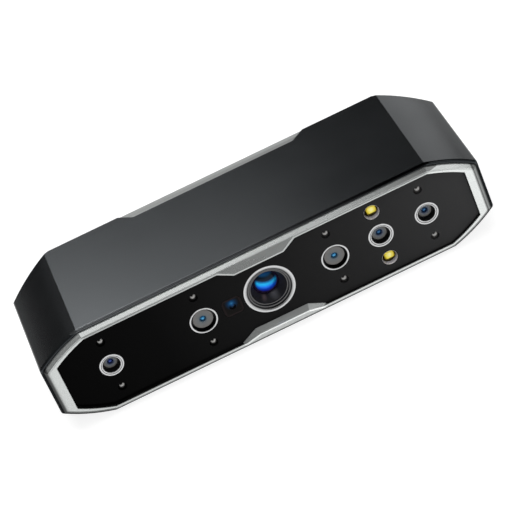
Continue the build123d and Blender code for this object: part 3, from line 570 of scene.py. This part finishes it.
def mottled(name, colour, rough, metal=0.0, size=3 * MM, spread=0.12, depth=1e-6, others=None):
    """A plain finish with a fine grain, uneven gloss and a slight drift of colour."""
    material = finish(name, colour, rough, metal, others)
    tree = material.node_tree
    light = [min(1.0, part * (1 + spread)) for part in colour]
    dark = [part * (1 - spread) for part in colour]
    drive(tree, "Base Color", shades(tree, patches(tree, size), [(0.3, dark), (0.7, light)]))
    uneven(tree, "Roughness", size / 2, rough * 0.88, min(1.0, rough * 1.12))
    raised(tree, patches(tree, 0.12 * MM), depth)
    return material


def gray_cover():
    """Gray satin paint; on the cover's upper tab, painted shade makes it darker towards the rear and the right."""
    material = mottled("gray cover", (0.37, 0.382, 0.378), 0.42, 0.35, size=6 * MM, spread=0.04)
    tree = material.node_tree
    paint = tree.nodes["Principled BSDF"].inputs["Base Color"].links[0].from_socket
    x, y, z = parts_of(tree, surface(tree))
    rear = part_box("rear_cover")[1].y
    # Painted shade on the upper tab: lighter at its front, darker towards the rear and the right
    level = times(tree, scaled(tree, y, rear - 5 * MM, rear - 1.6 * MM, 1.15, 0.66),
                  scaled(tree, x, -30 * MM, 30 * MM, 1.0, 0.7))
    top = scaled(tree, z, MIDDLE + 17.4 * MM, MIDDLE + 17.6 * MM)
    drive(tree, "Base Color", enlarged(tree, paint, inside(tree, top, level)))
    return material


def circuit_board():
    """Black solder mask over a fine pattern of tracks."""
    material = finish("circuit board", (0.008, 0.009, 0.008), 0.35)
    tree = material.node_tree
    track, mask = (0.02, 0.022, 0.02), (0.007, 0.008, 0.007)
    cells = add(tree, "TexVoronoi", {"Vector": surface(tree), "Scale": 900.0}, distance="MANHATTAN",
                feature="DISTANCE_TO_EDGE")["Distance"]
    drive(tree, "Base Color", shades(tree, scaled(tree, cells, 0.0, 0.25), [
        (0.0, track), (0.4, track), (0.5, mask), (1.0, mask)]))
    uneven(tree, "Roughness", 4 * MM, 0.3, 0.4)
    return material


def reflector_bowl():
    """Lilac-silver reflector, with a painted highlight at its front rim and dark brown painted shadow deep down where
    it meets the phosphor pad.
    """
    material = finish("reflector bowl", (0.42, 0.40, 0.48), 0.25, 0.2)
    tree = material.node_tree
    depth = parts_of(tree, surface(tree))["Y"]
    # Painted light by depth: a highlight at the front rim, a shadow deep in the bowl
    drive(tree, "Base Color", shades(tree, scaled(tree, depth, WINDOW_FRONT, WINDOW_FRONT + 3 * MM), [
        (0.0, (0.82, 0.8, 0.84)), (0.15, (0.62, 0.6, 0.66)), (0.5, (0.43, 0.41, 0.43)),
        (0.6, (0.06, 0.045, 0.015)), (1.0, (0.04, 0.03, 0.012))]))
    uneven(tree, "Roughness", 0.6 * MM, 0.2, 0.3)
    return material


def phosphor():
    """Yellow phosphor with a painted highlight above the middle of each lamp, darker towards its rim, and a painted
    shadow as a dark brown stripe along its lower edge.
    """
    material = finish("led phosphor", (0.9, 0.72, 0.1), 0.45, others={"Specular IOR Level": 0.1})
    tree = material.node_tree
    place = parts_of(tree, surface(tree, (CAMERAS["colour"][0] + PAD_SHIFT, 0, MIDDLE)))
    # The painted highlight is centred 0.45 mm above each lamp's middle
    palest = maths(tree, "MULTIPLY_ADD", maths(tree, "SIGN", place["Z"]), LED_RISE, 0.45 * MM)
    height = maths(tree, "SUBTRACT", place["Z"], palest)
    away = length_of(tree, add(tree, "CombineXYZ", {"X": place["X"], "Z": height})[0])
    yellow = shades(tree, scaled(tree, away, 0, 2.4 * MM), [
        (0.0, (1.0, 0.96, 0.5)), (0.3, (1.0, 0.9, 0.24)), (0.6, (0.9, 0.72, 0.06)), (0.8, (0.5, 0.36, 0.02)),
        (1.0, (0.12, 0.08, 0.01))])
    # Painted shadow: a dark brown stripe along the lower edge
    band = fading(tree, height, -1.4 * MM, -1.25 * MM)
    drive(tree, "Base Color", mixed(tree, band, yellow, (0.045, 0.035, 0.004, 1)))
    raised(tree, patches(tree, 0.15 * MM), 4e-6)
    return material


def dress(node, material):
    """Gives one CAD node its finish."""
    slots = nodes[node].data.materials
    slots.clear()
    slots.append(material)


def smooth(data, angle=35.0):
    """Soft shading, but for sharp edges."""
    data.shade_smooth()
    data.set_sharp_from_angle(angle=radians(angle))


def turned(name, profile, sides=48, sharp=35.0):
    """A mesh turned round the Y axis from (radius, y) in millimetres. A radius may change with the angle."""
    mesh = bmesh.new()
    circles = []
    for radius, y in profile:
        if radius == 0:
            circles.append([mesh.verts.new((0, y * MM, 0))])
            continue
        circle = []
        for side in range(sides):
            angle = 2 * pi * side / sides
            reach = (radius(angle) if callable(radius) else radius) * MM
            circle.append(mesh.verts.new((reach * cos(angle), y * MM, reach * sin(angle))))
        circles.append(circle)
    for circle, following in zip(circles, circles[1:]):
        for side in range(sides):
            corners = [circle[side % len(circle)], circle[(side + 1) % len(circle)],
                       following[(side + 1) % len(following)], following[side % len(following)]]
            mesh.faces.new(list(dict.fromkeys(corners)))
    bmesh.ops.recalc_face_normals(mesh, faces=mesh.faces)
    data = bpy.data.meshes.new(name)
    mesh.to_mesh(data)
    mesh.free()
    smooth(data, sharp)
    return data


def pad_side(half, corner):
    """The radius of a rounded square as the angle changes."""
    power = 2 * half / corner
    return lambda angle: half / (abs(cos(angle)) ** power + abs(sin(angle)) ** power) ** (1 / power)


def lobes(angle):
    """The radius of a screw's six-lobed socket."""
    return 0.92 + 0.13 * cos(6 * angle)


def contact_strip(width, length, thickness):
    """A flat contact with broken edges."""
    mesh = bmesh.new()
    bmesh.ops.create_cube(mesh, size=1.0, matrix=Matrix.Diagonal((width, length, thickness, 1)))
    bmesh.ops.bevel(mesh, geom=mesh.edges[:], offset=0.012 * MM, segments=1, affect="EDGES")
    data = bpy.data.meshes.new("contact strip")
    mesh.to_mesh(data)
    mesh.free()
    return data


def tree_with(name, inputs):
    """An empty geometry tree, and its named inputs."""
    tree = bpy.data.node_groups.new(name, "GeometryNodeTree")
    tree.interface.new_socket("Geometry", in_out="INPUT", socket_type="NodeSocketGeometry")
    for title, kind in inputs.items():
        tree.interface.new_socket(title, in_out="INPUT", socket_type="NodeSocket" + kind)
    tree.interface.new_socket("Geometry", in_out="OUTPUT", socket_type="NodeSocketGeometry")
    return tree, step(tree, "NodeGroupInput")


def close_tree(tree, geometry, material):
    """Ends a geometry tree in plain faces with one finish."""
    real = shape(tree, "RealizeInstances", {"Geometry": geometry})[0]
    done = shape(tree, "SetMaterial", {"Geometry": real, "Material": material})[0]
    step(tree, "NodeGroupOutput", {"Geometry": done})


def spreading_tree():
    """Copies of a shape on points, each turned by a seeded angle about the Y axis."""
    tree, given = tree_with("spread shapes", {"Shape": "Object", "Turn": "Float", "Seed": "Int",
                                              "Finish": "Material"})
    copied = shape(tree, "ObjectInfo", {"Object": given["Shape"]})["Geometry"]
    turn = step(tree, "FunctionNodeRandomValue", {"Min": 0.0, "Max": 1.0, "Seed": given["Seed"]},
                data_type="FLOAT")["Value"]
    way = add(tree, "CombineXYZ", {"Y": times(tree, turn, given["Turn"])})[0]
    copies = shape(tree, "InstanceOnPoints", {"Points": given["Geometry"], "Instance": copied, "Rotation": way})[0]
    close_tree(tree, copies, given["Finish"])
    return tree


def thread_tree():
    """The wall of a threaded bore that runs up from the origin."""
    tree, given = tree_with("bore thread", {"Minor Radius": "Float", "Major Radius": "Float", "Pitch": "Float",
                                            "Depth": "Float", "Finish": "Material"})
    grid = shape(tree, "MeshGrid", {"Size X": 1.0, "Size Y": 1.0, "Vertices X": 49, "Vertices Y": 67})["Mesh"]
    place = parts_of(tree, shape(tree, "InputPosition")[0])
    angle = times(tree, place["X"], 2 * pi)
    height = times(tree, maths(tree, "ADD", place["Y"], 0.5), given["Depth"])
    turns = maths(tree, "SUBTRACT", maths(tree, "DIVIDE", height, given["Pitch"]), place["X"])
    flank = times(tree, maths(tree, "PINGPONG", turns, 0.5), 2.0)
    rise = maths(tree, "SUBTRACT", given["Major Radius"], given["Minor Radius"])
    radius = maths(tree, "ADD", given["Minor Radius"], times(tree, rise, flank))
    spot = add(tree, "CombineXYZ", {"X": times(tree, radius, maths(tree, "COSINE", angle)),
                                    "Y": times(tree, radius, maths(tree, "SINE", angle)), "Z": height})[0]
    wall = shape(tree, "SetPosition", {"Geometry": grid, "Position": spot})[0]
    closed = shape(tree, "MergeByDistance", {"Geometry": wall, "Distance": 1e-6})[0]
    close_tree(tree, shape(tree, "FlipFaces", {"Mesh": closed})[0], given["Finish"])
    return tree


def gauze_tree():
    """Panels of woven wire on points, each wire rippling over and under those that cross it."""
    tree, given = tree_with("woven wire", {"Columns": "Int", "Rows": "Int", "Pitch": "Float", "Wire Radius": "Float",
                                           "Finish": "Material"})
    pitch, wire_radius = given["Pitch"], given["Wire Radius"]

    def wires(count, length, across, along, lift):
        """One set of parallel wires, rippled by lift times the wire's radius."""
        reach = times(tree, maths(tree, "SUBTRACT", length, 1), times(tree, pitch, 0.5))
        line = shape(tree, "CurvePrimitiveLine", {"Start": enlarged(tree, along, times(tree, reach, -1)),
                                                  "End": enlarged(tree, along, reach)})[0]
        fine = shape(tree, "ResampleCurve", {"Curve": line, "Count": times(tree, length, 4)})[0]
        width = times(tree, maths(tree, "SUBTRACT", count, 1), pitch)
        first = enlarged(tree, across, times(tree, width, -0.5))
        seats = shape(tree, "MeshLine", {"Count": count, "Start Location": first,
                                         "Offset": enlarged(tree, across, pitch)})[0]
        row = shape(tree, "InstanceOnPoints", {"Points": seats, "Instance": fine})[0]
        row = shape(tree, "RealizeInstances", {"Geometry": row})[0]
        place = parts_of(tree, shape(tree, "InputPosition")[0])
        waves = [maths(tree, "COSINE", times(tree, maths(tree, "DIVIDE", place[axis], pitch), pi))
                 for axis in ("X", "Z")]
        shift = add(tree, "CombineXYZ", {"Y": times(tree, *waves, times(tree, wire_radius, lift))})[0]
        row = shape(tree, "SetPosition", {"Geometry": row, "Offset": shift})[0]
        section = shape(tree, "CurvePrimitiveCircle", {"Resolution": 5, "Radius": wire_radius})[0]
        return shape(tree, "CurveToMesh", {"Curve": row, "Profile Curve": section, "Fill Caps": True})[0]

    ripple = 1.05
    upright = wires(given["Columns"], given["Rows"], (1, 0, 0), (0, 0, 1), ripple)
    level = wires(given["Rows"], given["Columns"], (0, 0, 1), (1, 0, 0), -ripple)
    both = shape(tree, "JoinGeometry", {"Geometry": upright})[0]
    tree.links.new(level, both.node.inputs["Geometry"])
    panels = shape(tree, "InstanceOnPoints", {"Points": given["Geometry"], "Instance": both})[0]
    close_tree(tree, panels, given["Finish"])
    return tree


def grown(name, tree, places, inputs):
    """The mesh that a geometry tree makes from points."""
    points = bpy.data.meshes.new(name + " points")
    points.from_pydata(places, [], [])
    carrier = placed(name + " points", points)
    modifier = carrier.modifiers.new("nodes", "NODES")
    modifier.node_group = tree
    sockets = {item.name: item.identifier for item in tree.interface.items_tree if item.in_out == "INPUT"}
    for title, value in inputs.items():
        modifier[sockets[title]] = value
    data = bpy.data.meshes.new_from_object(carrier.evaluated_get(bpy.context.evaluated_depsgraph_get()))
    data.name = name
    carrier.modifiers.clear()
    bpy.data.objects.remove(carrier)
    return data


spreading = spreading_tree()


def spread(name, template, places, material, turn=0.0, seed=1):
    """A mesh with a copy of the template at each place."""
    copied = placed(template.name, template)
    data = grown(name, spreading, places, {"Shape": copied, "Turn": turn, "Seed": seed, "Finish": material})
    bpy.data.objects.remove(copied)
    return data


def piece(name, data, body="scanner_body", replaced=()):
    """A finished piece that rides on a body."""
    thing = placed(name, data)
    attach(thing, body)
    if replaced:
        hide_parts(*replaced)


def bar(left, low, right, high, divisions=6):
    """Rows of points over a rectangle in millimetres."""
    shares = [index / divisions for index in range(divisions + 1)]
    return [[((left + (right - left) * across) * MM, (low + (high - low) * up) * MM) for up in shares]
            for across in shares]


def ring(inner, outer, sides=48):
    """Rows of points round a ring in millimetres."""
    turns = [2 * pi * side / sides for side in range(sides + 1)]
    return [[(radius * cos(turn) * MM, -radius * sin(turn) * MM) for radius in (inner, outer)] for turn in turns]


def printed_mark(name, body, x, dish_radius, grids, material):
    """A thin printed mark that follows the dished top of a button."""
    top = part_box(body)[1].y
    dish_depth = 0.3 * MM
    print_height = 0.015 * MM
    curve = (dish_radius ** 2 + dish_depth ** 2) / (2 * dish_depth)
    mesh = bmesh.new()
    for rows in grids:
        points = []
        for row in rows:
            points.append([])
            for across, up in row:
                depth = dish_depth - (curve - sqrt(curve ** 2 - across ** 2 - up ** 2))
                points[-1].append(mesh.verts.new((x + across, top - depth + print_height, MIDDLE + up)))
        for row, following in zip(points, points[1:]):
            for index in range(len(row) - 1):
                mesh.faces.new((row[index], row[index + 1], following[index + 1], following[index]))
    bmesh.ops.remove_doubles(mesh, verts=mesh.verts, dist=1e-7)
    data = bpy.data.meshes.new(name)
    mesh.to_mesh(data)
    mesh.free()
    data.materials.append(material)
    smooth(data)
    piece(name, data, body)


set_camera()
set_world(front=0.24, back=0.015)
set_floor(shade=0.35, lift=0.8)
for studio_lamp in LAMPS:
    softbox(*studio_lamp)

# Finishes of the CAD nodes, by the record's material slots
brass = mottled("brass", (0.72, 0.5, 0.2), 0.3, 1.0, size=1.5 * MM, spread=0.05)
black_steel = mottled("blackened steel", (0.05, 0.05, 0.052), 0.35, 0.8, size=1.0 * MM)
looks = {
    "satin_black_shell": satin_shell(),
    "silver_bezel": silver_bezel(),
    "black_glass": window_glass(),
    "soft_gasket": mottled("gasket rubber", (0.012, 0.012, 0.012), 0.7, size=1.0 * MM, depth=4e-6),
    "projector_black": projector_black(),
    "infrared_lamp": infrared_glass(),
    "led_phosphor": phosphor(),
    "led_cup": reflector_bowl(),
    "black_package": mottled("black package", (0.015, 0.015, 0.016), 0.45, size=0.5 * MM),
    "bare_aluminium": mottled("bare aluminium", (0.7, 0.71, 0.72), 0.35, 1.0, size=2 * MM, spread=0.04),
    "steel": mottled("steel", (0.55, 0.55, 0.56), 0.32, 1.0, size=1.5 * MM, spread=0.05),
    "brass": brass,
    "cable_film": mottled("cable film", (0.45, 0.2, 0.05), 0.35, size=1.0 * MM),
    "circuit_board": circuit_board(),
    "gray_cover": gray_cover(),
    "panel_black": mottled("panel black", (0.016, 0.016, 0.018), 0.4, size=4 * MM),
    "button_gray": mottled("button gray", (0.10, 0.102, 0.106), 0.5, size=2 * MM, depth=3e-6),
    "clear_light": mottled("light pipe", (0.75, 0.8, 0.8), 0.2, size=0.5 * MM, spread=0.05,
                           others={"Transmission Weight": 0.5}),
}
for part in frame["record"]["subparts"]:
    if part["material_slot"] in looks:
        dress(part["node"], looks[part["material_slot"]])

# Finishes of single nodes: cameras, projector, heat spreader and distance sensor
for name, (x, nose_radius, pupil) in CAMERAS.items():
    near = name.startswith("near")
    far_blue = NAVY_BLUE if x < 0 else TEAL_BLUE
    low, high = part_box(name + "_camera_ring")
    outer = (high.x - low.x) / 2
    dress(name + "_camera_ring", ring_metal(name + " ring", x, outer, outer - CAMERA_RING_WIDTH,
                                            CAMERA_RING_LEVELS, chamfer_metal=0.3))
    dress(name + "_camera_barrel", barrel_black(name + " barrel", x, nose_radius, pupil,
                                                *(NEAR_BARREL if near else DEEP_BARREL)))
    dress(name + "_camera_lens", coated_lens(name + " lens", x, pupil, NEAR_BLUE if near else far_blue))
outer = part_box("projector_ring")[1].x
dress("projector_ring", ring_metal("projector ring", 0, outer, outer - PROJECTOR_RING_WIDTH,
                                   PROJECTOR_RING_LEVELS, chamfer_metal=1.0))
coating = projector_coating()
for node in ("projector_front_lens", "projector_rear_lens"):
    dress(node, coating)
dress("heat_spreader", mottled("black anodised aluminium", (0.02, 0.02, 0.022), 0.45, 0.5, size=2 * MM))
dress("distance_sensor_window", sensor_glass("sensor window", gain=1.0))
# The lens is painted 2.2 times lighter to lift the shade in its hole: painted light
dress("distance_sensor_lens", sensor_glass("sensor lens", gain=2.2))

# Infrared leds: wide low domes that fill the window's holes
led_heights = (MIDDLE + LED_RISE, MIDDLE - LED_RISE)
infrared_places = [(CAMERAS[name][0], WINDOW_FRONT, z) for name in
                   ("far_left", "near_left", "near_right", "far_right") for z in led_heights]
dome = turned("infrared led", [(0, 0.3), (0.5, 0.33), (0.9, 0.42), (1.2, 0.58), (1.36, 0.78), (1.42, 1.0),
                               (1.42, 1.85), (1.36, 1.93), (1.3, 1.93), (1.3, 4.2), (0, 4.2)])
piece("infrared_leds_dressed", spread("infrared_leds_dressed", dome, infrared_places, looks["infrared_lamp"]),
      replaced=["infrared_leds"])

# White leds: a curved reflector bowl round a crowned phosphor pad
white_places = [(CAMERAS["colour"][0], WINDOW_FRONT, z) for z in led_heights]
bowl = turned("white led bowl", [(2.0, 2.75), (2.22, 2.45), (2.38, 2.0), (2.5, 1.4), (2.57, 0.8), (2.6, 0.3),
                                 (2.62, 0.1), (2.66, 0.04), (2.7, 0.1), (2.7, 4.2), (2.0, 4.2), (2.0, 2.75)])
piece("white_led_bowls", spread("white_led_bowls", bowl, white_places, looks["led_cup"]),
      replaced=["white_led_cups"])
pad_places = [(x + PAD_SHIFT, y - 0.7 * MM, z) for x, y, z in white_places]
pad = turned("phosphor pad", [(0, 1.7), (pad_side(0.6, 0.3), 1.72), (pad_side(1.1, 0.45), 1.78),
                              (pad_side(1.5, 0.55), 1.9), (pad_side(1.75, 0.6), 2.2), (pad_side(1.75, 0.6), 4.2),
                              (0, 4.2)], sides=64, sharp=50)
piece("white_led_pads", spread("white_led_pads", pad, pad_places, looks["led_phosphor"]),
      replaced=["white_leds"])

# Rear screws with a six-lobed socket, each turned a little differently
screw_low, screw_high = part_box("rear_screws")
head_radius, shank_radius = 1.9, 0.9
screw_end = (screw_low.y - screw_high.y) / MM
screw_places = [(side * (screw_high.x - head_radius * MM), screw_high.y, z) for side in (1, -1) for z in
                (screw_low.z + head_radius * MM, screw_high.z - head_radius * MM)]
screw = turned("rear screw", [(0, -0.75), (lobes, -0.62), (lobes, -0.06), (lambda angle: lobes(angle) + 0.06, -0.01),
                              (1.7, -0.01), (1.84, -0.06), (head_radius, -0.2), (head_radius, -1.3),
                              (shank_radius, -1.3), (shank_radius, screw_end + 0.3), (0.6, screw_end),
                              (0, screw_end)], sides=72, sharp=30)
piece("rear_screws_dressed", spread("rear_screws_dressed", screw, screw_places, black_steel, turn=pi / 3, seed=4),
      replaced=["rear_screws"])

# Tripod insert with a quarter-inch thread
insert_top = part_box("tripod_insert")[1].z
thread = grown("tripod_thread", thread_tree(), [(0, 0, 0)], {
    "Minor Radius": 2.55 * MM, "Major Radius": 3.175 * MM, "Pitch": 1.27 * MM, "Depth": insert_top - 0.1 * MM,
    "Finish": brass})
thread.transform(Matrix.Translation((0, TRIPOD_Y, 0.05 * MM)))
smooth(thread, 30)
piece("tripod_thread", thread)
sleeve = turned("tripod_sleeve", [(3.2, 0.05), (3.5, 0.02), (4.9, 0.02), (5.2, 0.3), (5.2, 7.0), (2.5, 7.0),
                                  (2.5, 6.95), (3.2, 6.95), (3.2, 0.05)], sides=72)
sleeve.transform(Matrix.Translation((0, TRIPOD_Y, 0)) @ Matrix.Rotation(pi / 2, 4, "X"))
sleeve.materials.append(brass)
piece("tripod_sleeve", sleeve, replaced=["tripod_insert"])

# Dust gauze behind the rear vents
vent_middle, vent_inside = 38.7 * MM, 25.0 * MM
gauze = grown("vent_gauze", gauze_tree(), [(side * vent_middle, vent_inside, MIDDLE) for side in (1, -1)], {
    "Columns": 19, "Rows": 17, "Pitch": 0.9 * MM, "Wire Radius": 0.11 * MM, "Finish": black_steel})
smooth(gauze, 60)
piece("vent_gauze", gauze)

# Gold contacts on both faces of the cable socket's tongue
gold = mottled("gold contact", (0.85, 0.6, 0.22), 0.25, 1.0, size=0.4 * MM, spread=0.05)
strip = contact_strip(0.26 * MM, 3.4 * MM, 0.05 * MM)
contact_count, contact_pitch, contact_y, contact_rise = 12, 0.5 * MM, 23.2 * MM, 0.36 * MM
first_contact = SOCKET_X - (contact_count - 1) / 2 * contact_pitch
contact_places = [(first_contact + index * contact_pitch, contact_y, MIDDLE + side * contact_rise)
                  for index in range(contact_count) for side in (1, -1)]
piece("usb_contacts", spread("usb_contacts", strip, contact_places, gold))

# Printed marks on the three buttons
print_white = mottled("printed mark", (0.62, 0.63, 0.64), 0.55, size=0.6 * MM, spread=0.05)
side_dish, scan_dish = 3.2 * MM, 5.6 * MM
level_bar = bar(-1.2, -0.2, 1.2, 0.2)
printed_mark("plus_mark", "plus_button", SIDE_BUTTON_X, side_dish,
             [level_bar, bar(-0.2, 0.2, 0.2, 1.2), bar(-0.2, -1.2, 0.2, -0.2)], print_white)
printed_mark("minus_mark", "minus_button", -SIDE_BUTTON_X, side_dish, [level_bar], print_white)
printed_mark("scan_mark", "scan_button", 0, scan_dish, [ring(1.75, 2.15), ring(0.02, 0.75)], print_white)

bpy.context.scene.view_settings.view_transform = "Standard"
